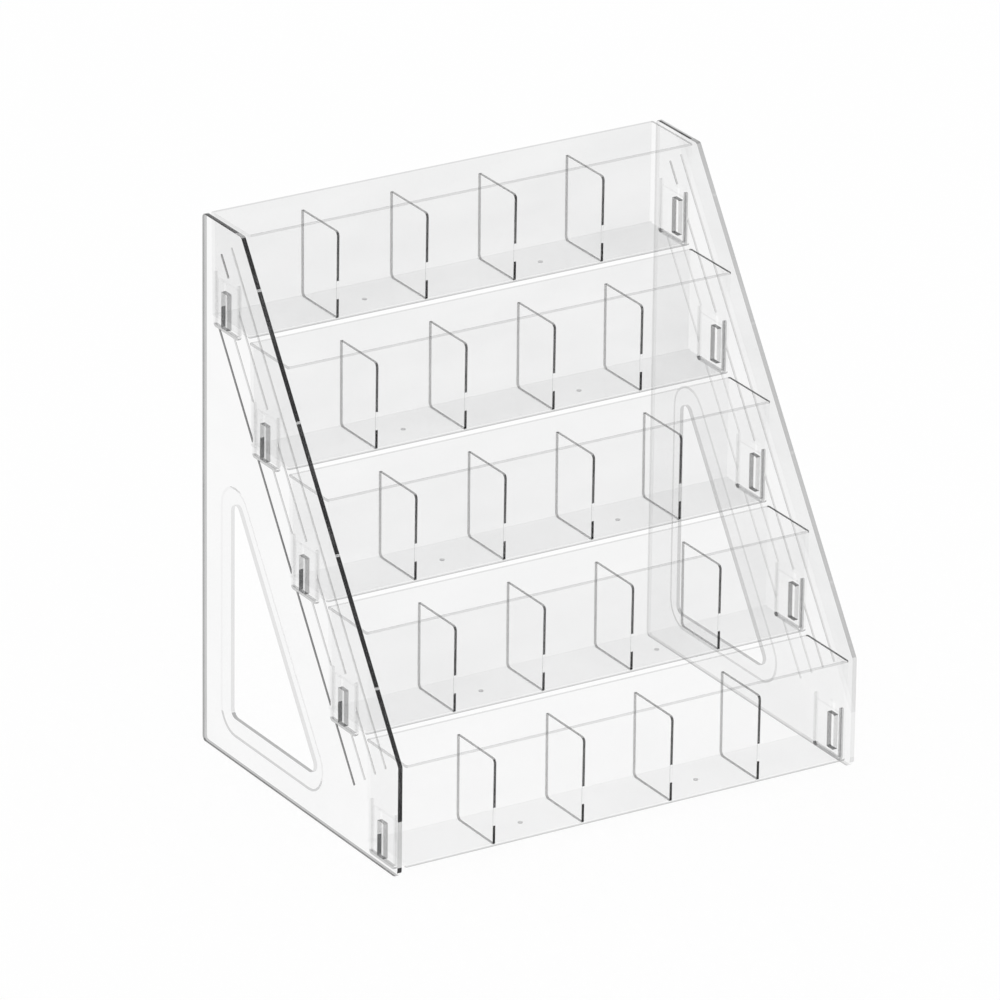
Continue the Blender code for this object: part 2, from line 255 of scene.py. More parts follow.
class Recipe:
    """One material's node tree, with a method that makes any node."""

    def __init__(self, name):
        self.material = bpy.data.materials.new(name)
        self.material.use_nodes = True
        self.tree = self.material.node_tree
        self.shader = self.tree.nodes["Principled BSDF"]
        self.place = self.node("ShaderNodeTexCoord", "Object")

    def node(self, kind, output, settings=None, **inputs):
        node = self.tree.nodes.new(kind)
        for key, value in (settings or {}).items():
            setattr(node, key, value)
        for key, value in inputs.items():
            connect(self.tree, node.inputs[key.replace("_", " ")], value)
        return Value(self.tree, node.outputs[output])

    def face_value(self, name):
        return self.node("ShaderNodeAttribute", "Fac", {"attribute_name": name})

    def noise(self, scale, detail, stretch=(1.0, 1.0, 1.0)):
        spot = self.node(
            "ShaderNodeMapping", "Vector", Vector=self.place, Scale=stretch
        )
        return self.node(
            "ShaderNodeTexNoise", "Fac", Vector=spot, Scale=scale, Detail=detail
        )

    def mix(self, share, first, second):
        node = self.tree.nodes.new("ShaderNodeMix")
        node.data_type = "RGBA"
        connect(self.tree, node.inputs["Factor"], share)
        connect(self.tree, node.inputs[6], first)
        connect(self.tree, node.inputs[7], second)
        return Value(self.tree, node.outputs[2])

    def bump(self, height, strength, distance):
        return self.node(
            "ShaderNodeBump", "Normal", Height=height, Strength=strength, Distance=distance
        )

    def set(self, **sockets):
        for key, value in sockets.items():
            connect(self.tree, self.shader.inputs[key.replace("_", " ")], value)


def clear_plastic(name, face_colour, edge):
    """Clear moulded plastic: a faint colour on broad faces and a near-black painted shade
    on its edges, standing in for the dark lines that light bent in the plate shows.
    """
    r = Recipe(name)
    # painted shade: each face's stored edge shade, and its face tint, laid on in amounts
    # that are partly painted shade
    tone = r.face_value("painted_edge_shade")
    face_tint_and_shade = r.face_value("face_tint_and_shade")
    flow = r.noise(9.0, 3.0, (1.0, 1.0, 2.5))
    # streak makes the painted edge shade uneven along each edge
    streak = r.noise(70.0, 2.0, (1.0, 0.3, 0.3))
    scuff = r.noise(900.0, 4.0, (1.0, 6.0, 6.0)).over(0.66, 0.80)
    dust = r.noise(2600.0, 1.0).over(0.76, 0.82)
    face_tint_shade_scuff_dust = face_tint_and_shade * (0.6 + flow * 0.8) + scuff * 0.01 + dust * 0.02
    edge_shade_amount = tone * (0.88 + streak * 0.24)
    # share picks the near-black painted edge colour wherever a face has painted edge shade
    share = tone.over(0.02, 0.12)
    r.set(
        Base_Color=r.mix(share, (*face_colour, 1.0), (*edge, 1.0)),
        Roughness=0.06 + scuff * 0.25 + flow * 0.05,
        Metallic=0.0,
        IOR=1.49,
        Specular_IOR_Level=0.3,
        Alpha=(face_tint_shade_scuff_dust + edge_shade_amount).math("MINIMUM", 0.99),
        Normal=r.bump(flow, 0.25, 0.0004),
    )
    return r.material


# ---------------------------------------------------------------- outlines and plates


def heading(start, end):
    across = end[0] - start[0]
    up = end[1] - start[1]
    length = math.hypot(across, up)
    return across / length, up / length


def step_along(start, way, distance):
    return start[0] + way[0] * distance, start[1] + way[1] * distance


def add_loop(curve, corners):
    """Closed outline from (depth, height, radius) corners, each turned on an arc."""
    spline = curve.splines.new("BEZIER")
    spline.bezier_points.add(2 * len(corners) - 1)
    spline.use_cyclic_u = True
    spline.resolution_u = ARC_STEPS
    for index, corner in enumerate(corners):
        back = heading(corner, corners[index - 1])
        on = heading(corner, corners[(index + 1) % len(corners)])
        opening = math.acos(max(-1.0, min(1.0, back[0] * on[0] + back[1] * on[1])))
        setback = corner[2] / math.tan(opening / 2)
        reach = corner[2] * 4 / 3 * math.tan((math.pi - opening) / 4)
        arrive = spline.bezier_points[2 * index]
        leave = spline.bezier_points[2 * index + 1]
        for point, way in ((arrive, back), (leave, on)):
            spot = step_along(corner, way, setback)
            inward = step_along(spot, way, -reach)
            point.co = (*spot, 0.0)
            point.handle_left_type = "VECTOR" if point is arrive else "FREE"
            point.handle_right_type = "FREE" if point is arrive else "VECTOR"
            if point is arrive:
                point.handle_right = (*inward, 0.0)
            else:
                point.handle_left = (*inward, 0.0)


def plate(loops, x_low, x_high, edge_round):
    """Flat plate between two X stations, holes included, with rounded edges."""
    curve = bpy.data.curves.new("plate", "CURVE")
    curve.dimensions = "2D"
    curve.fill_mode = "BOTH"
    curve.bevel_depth = edge_round
    curve.bevel_resolution = 1
    curve.offset = -edge_round
    curve.extrude = (x_high - x_low) / 2 - edge_round
    for corners in loops:
        add_loop(curve, corners)
    mesh = mesh_from_curve(curve)
    middle = (x_low + x_high) / 2
    for vert in mesh.vertices:
        depth, height, across = vert.co
        vert.co = (middle + across, to_y(depth), height)
    return face_outward(mesh)


def mesh_from_curve(curve):
    holder = bpy.data.objects.new("holder", curve)
    bpy.context.scene.collection.objects.link(holder)
    mesh = evaluated_mesh(holder)
    bpy.data.objects.remove(holder, do_unlink=True)
    return mesh


def evaluated_mesh(item):
    graph = bpy.context.evaluated_depsgraph_get()
    return bpy.data.meshes.new_from_object(item.evaluated_get(graph))


def face_outward(mesh):
    bm = bmesh.new()
    bm.from_mesh(mesh)
    bmesh.ops.remove_doubles(bm, verts=bm.verts, dist=WELD)
    bmesh.ops.dissolve_degenerate(bm, edges=bm.edges, dist=SLIVER)
    bmesh.ops.recalc_face_normals(bm, faces=bm.faces)
    if bm.calc_volume(signed=True) < 0.0:
        bmesh.ops.reverse_faces(bm, faces=bm.faces)
    bm.to_mesh(mesh)
    bm.free()
    return mesh


def combine(base, *steps):
    """Unite or cut meshes in turn with exact booleans."""
    holder = bpy.data.objects.new("holder", base)
    bpy.context.scene.collection.objects.link(holder)
    tools = []
    for operation, mesh in steps:
        tool = bpy.data.objects.new("tool", mesh)
        bpy.context.scene.collection.objects.link(tool)
        tools.append(tool)
        modifier = holder.modifiers.new(operation, "BOOLEAN")
        modifier.operation = operation
        modifier.solver = "EXACT"
        modifier.object = tool
    result = evaluated_mesh(holder)
    for item in (holder, *tools):
        bpy.data.objects.remove(item, do_unlink=True)
    return result


def box_mesh(low, high):
    bm = bmesh.new()
    bmesh.ops.create_cube(bm, size=1.0)
    for vert in bm.verts:
        vert.co = [low[a] + (vert.co[a] + 0.5) * (high[a] - low[a]) for a in range(3)]
    mesh = bpy.data.meshes.new("box")
    bm.to_mesh(mesh)
    bm.free()
    return mesh


def sliced(mesh, planes):
    """Lay new edges on a mesh where planes cross it, leaving its shape alone."""
    bm = bmesh.new()
    bm.from_mesh(mesh)
    for spot, normal in planes:
        bmesh.ops.bisect_plane(
            bm,
            geom=bm.verts[:] + bm.edges[:] + bm.faces[:],
            dist=SLIVER / 10,
            plane_co=spot,
            plane_no=normal,
        )
    bm.to_mesh(mesh)
    bm.free()
    return mesh


# ---------------------------------------------------------------- repeats along a line


def line_of_copies():
    """Geometry Nodes: copies of a mesh in a straight row, with named sizes."""
    tree = bpy.data.node_groups.new("line_of_copies", "GeometryNodeTree")
    face = tree.interface
    face.new_socket("Geometry", in_out="INPUT", socket_type="NodeSocketGeometry")
    face.new_socket("Count", in_out="INPUT", socket_type="NodeSocketInt")
    face.new_socket("Step", in_out="INPUT", socket_type="NodeSocketVector")
    face.new_socket("Plastic", in_out="INPUT", socket_type="NodeSocketMaterial")
    face.new_socket("Geometry", in_out="OUTPUT", socket_type="NodeSocketGeometry")
    start = tree.nodes.new("NodeGroupInput")
    line = tree.nodes.new("GeometryNodeMeshLine")
    copies = tree.nodes.new("GeometryNodeInstanceOnPoints")
    real = tree.nodes.new("GeometryNodeRealizeInstances")
    dress = tree.nodes.new("GeometryNodeSetMaterial")
    end = tree.nodes.new("NodeGroupOutput")
    line.mode = "OFFSET"
    link = tree.links.new
    link(start.outputs["Count"], line.inputs["Count"])
    link(start.outputs["Step"], line.inputs["Offset"])
    link(line.outputs["Mesh"], copies.inputs["Points"])
    link(start.outputs["Geometry"], copies.inputs["Instance"])
    link(copies.outputs["Instances"], real.inputs["Geometry"])
    link(real.outputs["Geometry"], dress.inputs["Geometry"])
    link(start.outputs["Plastic"], dress.inputs["Material"])
    link(dress.outputs["Geometry"], end.inputs["Geometry"])
    return tree


LINE_OF_COPIES = line_of_copies()


def repeated(mesh, count, step, material):
    holder = bpy.data.objects.new("holder", mesh)
    bpy.context.scene.collection.objects.link(holder)
    modifier = holder.modifiers.new("copies", "NODES")
    modifier.node_group = LINE_OF_COPIES
    values = {"Count": count, "Step": step, "Plastic": material}
    for item in LINE_OF_COPIES.interface.items_tree:
        if item.in_out == "INPUT" and item.name in values:
            modifier[item.identifier] = values[item.name]
    result = evaluated_mesh(holder)
    bpy.data.objects.remove(holder, do_unlink=True)
    return result


# ---------------------------------------------------------------- finishing a piece


def paint(mesh, rule):
    """Store, for each face, how deep its painted edge shade is and how much face tint it
    gets, partly painted shade.
    """
    tone = mesh.attributes.new("painted_edge_shade", "FLOAT", "FACE")
    face_tint_and_shade = mesh.attributes.new("face_tint_and_shade", "FLOAT", "FACE")
    for face in mesh.polygons:
        tone.data[face.index].value, face_tint_and_shade.data[face.index].value = rule(
            face.center, face.normal
        )


def finish_piece(name, mesh, material, body, node, rule):
    mesh.materials.clear()
    mesh.materials.append(material)
    for face in mesh.polygons:
        face.material_index = 0
    paint(mesh, rule)
    mesh.shade_smooth()
    mesh.set_sharp_from_angle(angle=math.radians(35.0))
    piece = bpy.data.objects.new(name, mesh)
    mesh.name = name
    bpy.context.scene.collection.objects.link(piece)
    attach(piece, body)
    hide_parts(node)
    return piece


# ---------------------------------------------------------------- side panels


def slant_spot(along, inset):
    depth = TIER_RUN + along * math.sin(LEAN) - inset * math.cos(LEAN)
    height = PANEL_HEIGHT - along * math.cos(LEAN) - inset * math.sin(LEAN)
    return depth, height


def slant_inset(depth, height):
    """Square distance in from the slanted edge."""
    run = TIER_RUN - depth
    fall = PANEL_HEIGHT - height
    return run * math.cos(LEAN) + fall * math.sin(LEAN)


def slant_along(depth, height):
    run = depth - TIER_RUN
    fall = PANEL_HEIGHT - height
    return run * math.sin(LEAN) + fall * math.cos(LEAN)


def panel_loop():
    return [
        (0.0, 0.0, CORNER),
        (PANEL_DEPTH, 0.0, FOOT_CORNER),
        (PANEL_DEPTH, FRONT_EDGE, CORNER),
        (TIER_RUN, PANEL_HEIGHT, CORNER),
        (0.0, PANEL_HEIGHT, CORNER),
    ]


def window_loop(grow):
    back = WINDOW_BACK - grow
    bottom = WINDOW_BOTTOM - grow
    reach = TIER_RUN + PANEL_HEIGHT * SLOPE - (WINDOW_INSET - grow) / math.cos(LEAN)
    corners = (
        (back, bottom),
        (reach - bottom * SLOPE, bottom),
        (back, (reach - back) / SLOPE),
    )
    return [(*corner, WINDOW_ROUND + grow) for corner in corners]


def rib_loop(inset, start, end):
    half = RIB_WIDTH / 2
    corners = (
        (start, inset - half),
        (end, inset - half),
        (end, inset + half),
        (start, inset + half),
    )
    return [(*slant_spot(*corner), RIB_CORNER) for corner in corners]


def socket_loop(tier):
    centre = (tier + 0.5) * TIER_RUN
    base = tray_base(tier)
    hollow = SOCKET_HALF - SOCKET_WALL
    shelf = SOCKET_FOOT + SOCKET_WALL
    corners = [
        (-SOCKET_HALF, SOCKET_FOOT, SOCKET_FOOT_CORNER),
        (SOCKET_HALF, SOCKET_FOOT, SOCKET_FOOT_CORNER),
        (SOCKET_HALF, SOCKET_TOP, SOCKET_TIP_CORNER),
        (hollow, SOCKET_TOP, SOCKET_TIP_CORNER),
        (hollow, shelf, SOCKET_SHELF_CORNER),
        (-hollow, shelf, SOCKET_SHELF_CORNER),
        (-hollow, SOCKET_TOP, SOCKET_TIP_CORNER),
        (-SOCKET_HALF, SOCKET_TOP, SOCKET_TIP_CORNER),
    ]
    return [(centre + across, base + up, r) for across, up, r in corners]


def slot_loop(tier):
    centre = (tier + 0.5) * TIER_RUN + KEY_FORWARD
    base = tray_base(tier)
    half = KEY_HALF + GAP
    top = KEY_HEIGHT + KEY_TRAVEL + 2 * GAP
    corners = ((-half, -GAP), (half, -GAP), (half, top), (-half, top))
    return [(centre + across, base + up, SLOT_CORNER) for across, up in corners]


def socket_stretch(inset, tier):
    """Stretch of a rib's line that crosses one tier's socket."""
    half = SOCKET_HALF - RIB_INTO_RAIL
    run = (tier - 0.5) * TIER_RUN + inset * math.cos(LEAN)
    mouth = tray_base(tier) + SOCKET_TOP + RIB_OFF_MOUTH
    foot = tray_base(tier) + SOCKET_FOOT + RIB_INTO_RAIL
    fall = PANEL_HEIGHT - inset * math.sin(LEAN)
    start = max((run - half) / math.sin(LEAN), (fall - mouth) / math.cos(LEAN))
    end = min((run + half) / math.sin(LEAN), (fall - foot) / math.cos(LEAN))
    return start, end


def rib_stretches(rib):
    """Lengths of one rib between sockets; the rear ribs begin below the first."""
    inset = RIB_INSETS[rib]
    last = TIER_STEP * (TIERS - 1) - RIB_END
    start = RIB_START
    stretches = []
    for tier in range(TIERS):
        stop, resume = socket_stretch(inset, tier)
        if stop < resume and start < last:
            stretches.append((start, min(stop, last)))
            start = resume
    stretches.append((start, last))
    if rib >= RIBS_FROM_TOP:
        stretches = stretches[1:]
    return [(low, high) for low, high in stretches if high - low > RIB_SHORTEST]


def rib_loops():
    loops = []
    for rib, inset in enumerate(RIB_INSETS):
        loops += [rib_loop(inset, *stretch) for stretch in rib_stretches(rib)]
    return loops


def panel_edge_tone(tones, depth, height, inset, out):
    """Painted shade on the plate's cut outline; near each tray the slant gets a short break
    of lighter painted shade.
    """
    outer = out > PLATE_MIDDLE
    if depth < OUTLINE:
        return tones["back"][outer]
    if height < OUTLINE:
        return tones["bottom"][outer]
    if height > PANEL_HEIGHT - OUTLINE:
        if TOP_SPAN[0] < depth < TOP_SPAN[1]:
            return tones["top"][outer]
        return tones["top_end"]
    if depth > PANEL_DEPTH - OUTLINE:
        if FRONT_SPAN[0] <= height <= FRONT_SPAN[1]:
            return tones["front_middle"]
        return tones["front"]
    if inset < OUTLINE:
        if abs(slant_along(depth, height) % TIER_STEP - EDGE_BREAK) < BREAK_HALF:
            return tones["break"]
        return tones["slant"]
    return None


# painted shade on the edges of the rail round a tray's socket
def socket_tone(tones, across, up):
    if up < SOCKET_FOOT + SOCKET_WALL + 0.5 * MM:
        corner = across < -SOCKET_HALF + 7.0 * MM
        return tones["rail_corner"] if corner else tones["rail_foot"]
    return tones["rail_back"] if across < 0.0 else tones["rail_front"]


# painted shade on a rib's edges
def rib_tone(tones, depth, height, inset):
    rib = min(range(len(RIB_INSETS)), key=lambda index: abs(RIB_INSETS[index] - inset))
    if rib == 1 and slant_along(depth, height) < RIB_HEAD:
        return tones["rib_head"]
    return tones["ribs"][rib]


# painted shade on the window border's step
def border_tone(tones, height):
    if height < WINDOW_BOTTOM:
        return tones["border_foot"]
    if height > BORDER_HEAD:
        return tones["border_head"]
    return tones["border"]


def in_socket(depth, height):
    tier = max(0, min(TIERS - 1, int(depth / TIER_RUN)))
    across = depth - (tier + 0.5) * TIER_RUN
    up = height - tray_base(tier)
    inside = abs(across) < SOCKET_HALF + NEAR
    return inside and SOCKET_FOOT - NEAR < up < SOCKET_TOP + NEAR, across, up


def panel_rule(tones):
    """Painted edge shade and face tint, partly painted shade, of a panel face by the part
    of the moulding that it is on.
    """

    def rule(centre, normal):
        depth = CAD_HIGH.y - centre.y
        height = centre.z
        inset = slant_inset(depth, height)
        out = abs(centre.x)
        inside, across, up = in_socket(depth, height)
        if out < PLATE_INNER - RIB_HEIGHT - NEAR:
            if abs(normal.x) > 0.95:
                return 0.0, tones["rail_face"]
            return socket_tone(tones, across, up), 0.0
        if out < PLATE_INNER - NEAR / 2:
            if inside:
                return socket_tone(tones, across, up), 0.0
            return rib_tone(tones, depth, height, inset), 0.0
        if abs(normal.x) > 0.95:
            if RACK_HALF - BORDER_STEP - NEAR < out < RACK_HALF - BORDER_STEP + NEAR:
                return border_tone(tones, height), 0.0
            stepped = PLATE_INNER + MM < out < RACK_HALF - BORDER_STEP - NEAR
            margin = inset < RIB_INSETS[0] - RIB_WIDTH / 2
            part = "border_face" if stepped else "margin" if margin else "face"
            return 0.0, tones[part]
        cut = panel_edge_tone(tones, depth, height, inset, out)
        if cut is not None:
            return cut, 0.0
        if inset > BORDER_FROM and height < BORDER_REACH:
            on_step = out > RACK_HALF - BORDER_DEPTH - NEAR / 2
            if on_step and not in_window(depth, height):
                return border_tone(tones, height), 0.0
            if normal.z > 0.6 and height < WINDOW_FOOT:
                return tones["window_foot"], 0.0
            return tones["window"], 0.0
        return tones["slot"], 0.0

    return rule


def in_window(depth, height):
    """Whether a spot is on the window's own cut edge, not on the border's step."""
    reach = BORDER * 0.5
    inset = slant_inset(depth, height)
    return (
        depth > WINDOW_BACK - reach
        and height > WINDOW_BOTTOM - reach
        and inset > WINDOW_INSET - reach
    )


# painted shade for each panel: edge values near 1 are painted near black, the left panel's
# edges darker than the right's; face values are tint amounts, partly painted shade
PANEL_TONES = {
    -1: {
        "face": 0.036,
        "margin": 0.036,
        "border_face": 0.045,
        "slant": 0.985,
        "break": 0.45,
        "top": (0.985, 0.985),
        "top_end": 0.6,
        "front": 0.985,
        "front_middle": 0.35,
        "back": (0.42, 0.6),
        "bottom": (0.45, 0.85),
        "window": 0.2,
        "window_foot": 0.55,
        "border": 0.09,
        "border_foot": 0.34,
        "border_head": 0.3,
        "ribs": (0.28, 0.28, 0.28, 0.75),
        "rib_head": 0.62,
        "slot": 0.04,
        "rail_face": 0.02,
        "rail_foot": 0.4,
        "rail_corner": 0.4,
        "rail_back": 0.1,
        "rail_front": 0.1,
    },
    1: {
        "face": 0.05,
        "margin": 0.1,
        "border_face": 0.06,
        "slant": 0.42,
        "break": 0.36,
        "top": (0.985, 0.4),
        "top_end": 0.6,
        "front": 0.2,
        "front_middle": 0.12,
        "back": (0.2, 0.12),
        "bottom": (0.42, 0.2),
        "window": 0.3,
        "window_foot": 0.45,
        "border": 0.2,
        "border_foot": 0.24,
        "border_head": 0.24,
        "ribs": (0.24, 0.24, 0.16, 0.16),
        "rib_head": 0.34,
        "slot": 0.03,
        "rail_face": 0.04,
        "rail_foot": 0.3,
        "rail_corner": 0.85,
        "rail_back": 0.1,
        "rail_front": 0.4,
    },
}


def panel_planes():
    """Where the painted shade of the outline changes."""
    planes = []
    slant = Vector((0.0, -math.sin(LEAN), -math.cos(LEAN)))
    head = Vector((0.0, to_y(TIER_RUN), PANEL_HEIGHT))
    for tier in range(TIERS - 1):
        for side in (-BREAK_HALF, BREAK_HALF):
            planes.append((head + slant * (EDGE_BREAK + tier * TIER_STEP + side), slant))
    planes.append((head + slant * RIB_HEAD, slant))
    inward = Vector((0.0, math.cos(LEAN), -math.sin(LEAN)))
    planes.append((head + inward * (RIB_INSETS[0] - RIB_WIDTH / 2), inward))
    for side in (-1, 1):
        planes.append((Vector((side * PLATE_MIDDLE, 0.0, 0.0)), Vector((1.0, 0.0, 0.0))))
    for depth in TOP_SPAN:
        planes.append((Vector((0.0, to_y(depth), 0.0)), Vector((0.0, 1.0, 0.0))))
    for height in (*FRONT_SPAN, BORDER_HEAD, WINDOW_BOTTOM):
        planes.append((Vector((0.0, 0.0, height)), Vector((0.0, 0.0, 1.0))))
    return planes


def mirrored(mesh):
    mesh.transform(Matrix.Diagonal((-1.0, 1.0, 1.0, 1.0)))
    return face_outward(mesh)


def build_panel(name, side, material):
    outside = RACK_HALF + SINK
    body = plate([panel_loop()], PLATE_INNER, RACK_HALF, PLATE_ROUND)
    step = plate([window_loop(BORDER)], RACK_HALF - BORDER_STEP, outside, 0.0)
    inner_border = window_loop(BORDER - BORDER_STEP_WIDTH)
    border = plate([inner_border], RACK_HALF - BORDER_DEPTH, outside + MM, 0.0)
    window = plate([window_loop(0.0)], PLATE_INNER - SINK, outside, 0.0)
    joined = PLATE_INNER + SINK
    ribs = plate(rib_loops(), PLATE_INNER - RIB_HEIGHT, joined, RIB_ROUND)
    rail = plate([socket_loop(0)], TRAY_HALF + GAP, joined, PART_ROUND)
    rails = repeated(rail, TIERS, (0.0, -TIER_RUN, -TIER_RISE), material)
    slots = [slot_loop(tier) for tier in range(TIERS)]
    keyways = plate(slots, PLATE_INNER - 6.0 * MM, outside, 0.0)
    mesh = combine(
        body,
        ("DIFFERENCE", step),
        ("DIFFERENCE", border),
        ("DIFFERENCE", window),
        ("UNION", ribs),
        ("UNION", rails),
        ("DIFFERENCE", keyways),
    )
    if side < 0:
        mesh = mirrored(mesh)
    mesh = sliced(mesh, panel_planes())
    finish_piece(
        name, mesh, material, "frame", name, panel_rule(PANEL_TONES[side])
    )


# ---------------------------------------------------------------- trays


def ring(half_x, half_y, radius, height, steps=5):
    """Rounded rectangle at one height, anticlockwise from above."""
    points = []
    for quarter, (sx, sy) in enumerate(((1, 1), (-1, 1), (-1, -1), (1, -1))):
        for step in range(steps + 1):
            angle = math.radians(90.0) * (quarter + step / steps)
            x = sx * (half_x - radius) + radius * math.cos(angle)
            y = sy * (half_y - radius) + radius * math.sin(angle)
            points.append((x, y, height))
    return points


def loft(rings):
    """Closed skin through stacked rings, capped at the first and the last."""
    bm = bmesh.new()
    rows = [[bm.verts.new(point) for point in points] for points in rings]
    count = len(rows[0])
    for lower, upper in zip(rows, rows[1:]):
        for index in range(count):
            after = (index + 1) % count
            bm.faces.new((lower[index], lower[after], upper[after], upper[index]))
    bm.faces.new(list(reversed(rows[0])))
    bm.faces.new(rows[-1])
    mesh = bpy.data.meshes.new("loft")
    bm.to_mesh(mesh)
    bm.free()
    return face_outward(mesh)


def quarter_turn(steps):
    """Sine and cosine at each step of a quarter turn."""
    for step in range(steps + 1):
        angle = math.radians(90.0) * step / steps
        yield math.sin(angle), math.cos(angle)


def tray_skin():
    """Open bin: up the drafted outside, over the rounded rim, down to the floor."""
    half_y = TRAY_DEPTH / 2
    rings = []

    def outside(height, pinch):
        draft = TRAY_DRAFT * (1.0 - height / TRAY_HEIGHT) + pinch
        rings.append(ring(TRAY_HALF - draft, half_y - draft, TRAY_CORNER, height))

    def inside(height, pinch):
        outside(height, TRAY_WALL + pinch)

    for sine, cosine in quarter_turn(FILLET_STEPS):
        outside(TRAY_FILLET * (1.0 - cosine), TRAY_FILLET * (1.0 - sine))
    outside(FOOT_BAND, 0.0)
    outside(TRAY_HEIGHT - RIM_BAND, 0.0)
    for sine, cosine in quarter_turn(RIM_STEPS):
        outside(TRAY_HEIGHT - RIM_ROUND * (1.0 - sine), RIM_ROUND * (1.0 - cosine))
    for sine, cosine in quarter_turn(RIM_STEPS):
        inside(TRAY_HEIGHT - RIM_ROUND * (1.0 - cosine), -RIM_ROUND * (1.0 - sine))
    for sine, cosine in quarter_turn(RIM_STEPS):
        inside(TRAY_FLOOR + RIM_ROUND * (1.0 - sine), RIM_ROUND * (1.0 - cosine))
    return loft(rings)


def divider_x(index):
    return (index - (POCKETS - 2) / 2) * POCKET_PITCH


def tray_mesh(material):
    """Tray with its foot on z = 0 and its middle on x = y = 0."""
    skin = tray_skin()
    half = DIVIDER_HALF + GAP
    reach = TRAY_DEPTH / 2 - TRAY_WALL - TRAY_DRAFT
    first = divider_x(0)
    groove = box_mesh(
        (first - half, -reach, TRAY_FLOOR - GROOVE),
        (first + half, reach, TRAY_FLOOR + SINK),
    )
    grooves = repeated(groove, POCKETS - 1, (POCKET_PITCH, 0.0, 0.0), material)
    gates = repeated(gate_pip(), 2, (2 * POCKET_PITCH, 0.0, 0.0), material)
    whole = combine(
        skin,
        ("UNION", tongue_pair()),
        ("UNION", gates),
        ("DIFFERENCE", grooves),
    )
    return sliced(whole, [(Vector((0.0, 0.0, KEY_SPLIT)), Vector((0.0, 0.0, 1.0)))])


def gate_pip():
    """Small round pip under the floor where the plastic entered the mould."""
    bm = bmesh.new()
    depth = TRAY_FLOOR * 0.5 + GATE_DROP
    place = Matrix.Translation((-POCKET_PITCH, 0.0, TRAY_FLOOR * 0.5 - depth / 2))
    bmesh.ops.create_cone(
        bm,
        cap_ends=True,
        segments=20,
        radius1=GATE_RADIUS * 0.85,
        radius2=GATE_RADIUS,
        depth=depth,
        matrix=place,
    )
    mesh = bpy.data.meshes.new("gate")
    bm.to_mesh(mesh)
    bm.free()
    return mesh


def tongue_pair():
    """Tongues and keys on both ends, as one mesh of two bodies."""
    centre = PANEL_DEPTH / 2
    half = SOCKET_HALF - SOCKET_WALL - GAP
    foot = -TONGUE_DROP
    loop = [
        (centre - half, foot, TONGUE_CORNER),
        (centre + half, foot, TONGUE_CORNER),
        (centre + half, TONGUE_TOP, TONGUE_CORNER),
        (centre - half, TONGUE_TOP, TONGUE_CORNER),
    ]
    root = TRAY_HALF - TRAY_DRAFT - SINK
    face = TRAY_HALF + TONGUE_THICK
    tongue = plate([loop], root, face, PART_ROUND)
    key_centre = centre + KEY_FORWARD
    key_loop = [
        (key_centre - KEY_HALF, 0.0, KEY_CORNER),
        (key_centre + KEY_HALF, 0.0, KEY_CORNER),
        (key_centre + KEY_HALF, KEY_HEIGHT, KEY_CORNER),
        (key_centre - KEY_HALF, KEY_HEIGHT, KEY_CORNER),
    ]
    key = plate([key_loop], face - SINK, RACK_HALF - KEY_SHORT_OF_FACE, PART_ROUND)
    right = combine(tongue, ("UNION", key))
    right.transform(Matrix.Translation((0.0, -to_y(centre), 0.0)))
    left = mirrored(right.copy())
    bm = bmesh.new()
    bm.from_mesh(right)
    bm.from_mesh(left)
    mesh = bpy.data.meshes.new("tongues")
    bm.to_mesh(mesh)
    bm.free()
    return mesh


def key_tone(tones, centre, base, middle):
    """Painted shade on the edges of the key and tongue on the end of a tray."""
    up = centre.z - base
    out = abs(centre.x)
    if out < TRAY_HALF + TONGUE_THICK + NEAR:
        return tones["tongue_edge"]
    if up > KEY_HEIGHT - KEY_END or up < KEY_END:
        return tones["key_ends"]
    if centre.y > middle - KEY_FORWARD:
        return tones["key_back_low"] if up < KEY_SPLIT else tones["key_back_high"]
    return tones["key_front"]


def tray_rule(tier):
    """Painted edge shade and face tint, partly painted shade, of a tray face by where it
    lies on the bin.
    """
    looks = TRAY_LOOKS[tier]
    base = tray_base(tier)
    middle = TRAY_MIDDLES[tier]

    def rule(centre, normal):
        height = centre.z - base
        side = 1 if centre.x > 0.0 else -1
        out_x = abs(centre.x)
        forward = middle - centre.y
        if out_x > TRAY_HALF + NEAR / 2:
            tones = KEY_TONES[side]
            if abs(normal.x) > 0.9:
                on_key = out_x > TRAY_HALF + TONGUE_THICK + NEAR
                return 0.0, tones["key_face" if on_key else "tongue_face"]
            return key_tone(tones, centre, base, middle), 0.0
        if height > TRAY_HEIGHT - RIM_BAND:
            if out_x > TRAY_HALF - TRAY_WALL - 0.6 * MM:
                return looks["rim_right" if side > 0 else "rim_left"], 0.0
            return looks["rim_front" if forward > 0.0 else "rim_back"], 0.0
        if abs(normal.z) > 0.9 or height < -NEAR:
            if height < 2 * NEAR:
                if math.hypot(out_x - POCKET_PITCH, forward) < GATE_ZONE:
                    return looks["gate"], 0.0
            return 0.0, looks["floor"]
        if height < TRAY_FILLET and abs(forward) > TRAY_DEPTH / 2 - WALL_ZONE:
            if forward > 0.0 and height > 0.0:
                return looks["foot"], 0.0
            return 0.0, looks["floor"]
        if height < FOOT_BAND and forward > TRAY_DEPTH / 2 - WALL_ZONE / 2:
            return looks["foot"] * 0.5, 0.0
        if abs(normal.y) > 0.8:
            return 0.0, looks["front_wall" if forward > 0.0 else "back_wall"]
        return 0.0, looks["right_wall" if side > 0 else "left_wall"]

    return rule


